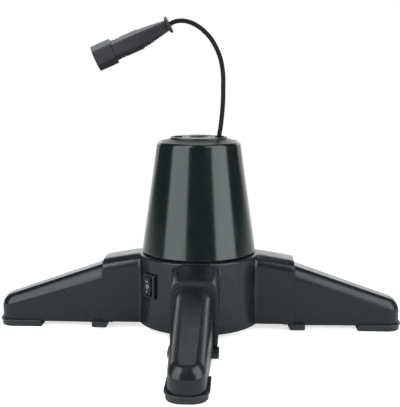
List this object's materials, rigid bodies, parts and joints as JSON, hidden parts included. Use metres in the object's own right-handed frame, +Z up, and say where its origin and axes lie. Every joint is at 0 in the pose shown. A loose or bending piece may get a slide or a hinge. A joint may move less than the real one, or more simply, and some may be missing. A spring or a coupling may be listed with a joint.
{
  "type": "rotating christmas tree stand",
  "caption": "Motor-driven rotating stand for an artificial tree: plug-in legs around a hub, a turning cone drum with a pole socket on top, and a short outlet lead with a connector.",
  "frame": {"origin": "on the floor under the turning axis, at the middle of the four feet", "axes": "+Z up along the turning axis; one leg points along each of +X, +Y, -X and -Y; the leg nearest the viewer in the picture points along -Y"},
  "size_m": [0.542, 0.542, 0.412],
  "materials": {
    "hub_plastic": "satin moulded plastic, very dark grey-green",
    "foot_plastic": "matt moulded plastic, very dark grey",
    "drum_plastic": "glossy moulded plastic, green-black",
    "black_plastic": "black moulded plastic",
    "connector_plastic": "matt soft plastic, dark purplish grey",
    "inner_plastic": "natural white nylon or acetal",
    "zinc_steel": "zinc-plated steel",
    "bright_steel": "polished steel",
    "brass": "plain brass or sintered bronze",
    "lead_rubber": "black flexible sheath"
  },
  "bodies": {
    "base": {"hub_housing": "hub_plastic", "bottom_cover": "foot_plastic", "cover_screws": "zinc_steel", "lower_race": "zinc_steel", "spindle_bush": "brass", "gear_motor": "zinc_steel", "motor_screws": "zinc_steel", "contact_block": "black_plastic", "contact_screws": "zinc_steel", "ring_contacts": "brass", "switch_body": "black_plastic", "switch_terminals": "brass", "cable_gland": "black_plastic", "gland_nut": "black_plastic"},
    "drum": {"drum_shell": "drum_plastic", "turntable": "black_plastic", "upper_race": "zinc_steel", "drum_screws": "zinc_steel", "spindle": "inner_plastic", "drive_gear": "inner_plastic", "grub_screws": "bright_steel", "slip_core": "inner_plastic", "slip_rings": "brass", "pole_socket": "black_plastic", "socket_screws": "zinc_steel", "inner_lead": "lead_rubber", "lead_clamp": "black_plastic", "clamp_screws": "zinc_steel", "outlet_lead": "lead_rubber", "connector_shell": "connector_plastic", "connector_insert": "black_plastic", "connector_contacts": "brass", "connector_tail": "connector_plastic"},
    "motor_pinion": {"pinion": "inner_plastic", "motor_shaft": "bright_steel"},
    "ball_set": {"ball_cage": "inner_plastic", "bearing_balls": "bright_steel"},
    "rocker": {"switch_rocker": "black_plastic"},
    "adapter": {"pole_adapter": "drum_plastic"},
    "right_leg_set": {"right_leg": "hub_plastic", "right_foot": "foot_plastic", "right_catch": "foot_plastic", "right_screws": "zinc_steel"},
    "back_leg_set": {"back_leg": "hub_plastic", "back_foot": "foot_plastic", "back_catch": "foot_plastic", "back_screws": "zinc_steel"},
    "left_leg_set": {"left_leg": "hub_plastic", "left_foot": "foot_plastic", "left_catch": "foot_plastic", "left_screws": "zinc_steel"},
    "front_leg_set": {"front_leg": "hub_plastic", "front_foot": "foot_plastic", "front_catch": "foot_plastic", "front_screws": "zinc_steel"}
  },
  "joints": [
    {"name": "drum_spin", "type": "hinge", "parent": "base", "child": "drum", "pos_m": [0, 0, 0.1129], "axis": [0, 0, 1], "continuous": true},
    {"name": "pinion_spin", "type": "hinge", "parent": "base", "child": "motor_pinion", "pos_m": [0.03712, 0.03712, 0.0853], "axis": [0, 0, 1], "continuous": true},
    {"name": "cage_spin", "type": "hinge", "parent": "base", "child": "ball_set", "pos_m": [0, 0, 0.1077], "axis": [0, 0, 1], "continuous": true},
    {"name": "rocker_tilt", "type": "hinge", "parent": "base", "child": "rocker", "pos_m": [-0.05937, -0.05346, 0.0673], "axis": [0.6691, -0.7431, 0], "range_deg": [-11, 11]},
    {"name": "adapter_lift", "type": "slide", "parent": "drum", "child": "adapter", "axis": [0, 0, 1], "range_m": [0, 0.06]},
    {"name": "right_leg_slide", "type": "slide", "parent": "base", "child": "right_leg_set", "axis": [1, 0, 0], "range_m": [0, 0.038]},
    {"name": "back_leg_slide", "type": "slide", "parent": "base", "child": "back_leg_set", "axis": [0, 1, 0], "range_m": [0, 0.038]},
    {"name": "left_leg_slide", "type": "slide", "parent": "base", "child": "left_leg_set", "axis": [-1, 0, 0], "range_m": [0, 0.038]},
    {"name": "front_leg_slide", "type": "slide", "parent": "base", "child": "front_leg_set", "axis": [0, -1, 0], "range_m": [0, 0.038]}
  ],
  "couplings": [
    {"joint": "pinion_spin", "follows": "drum_spin", "ratio": -4},
    {"joint": "cage_spin", "follows": "drum_spin", "ratio": 0.5}
  ]
}
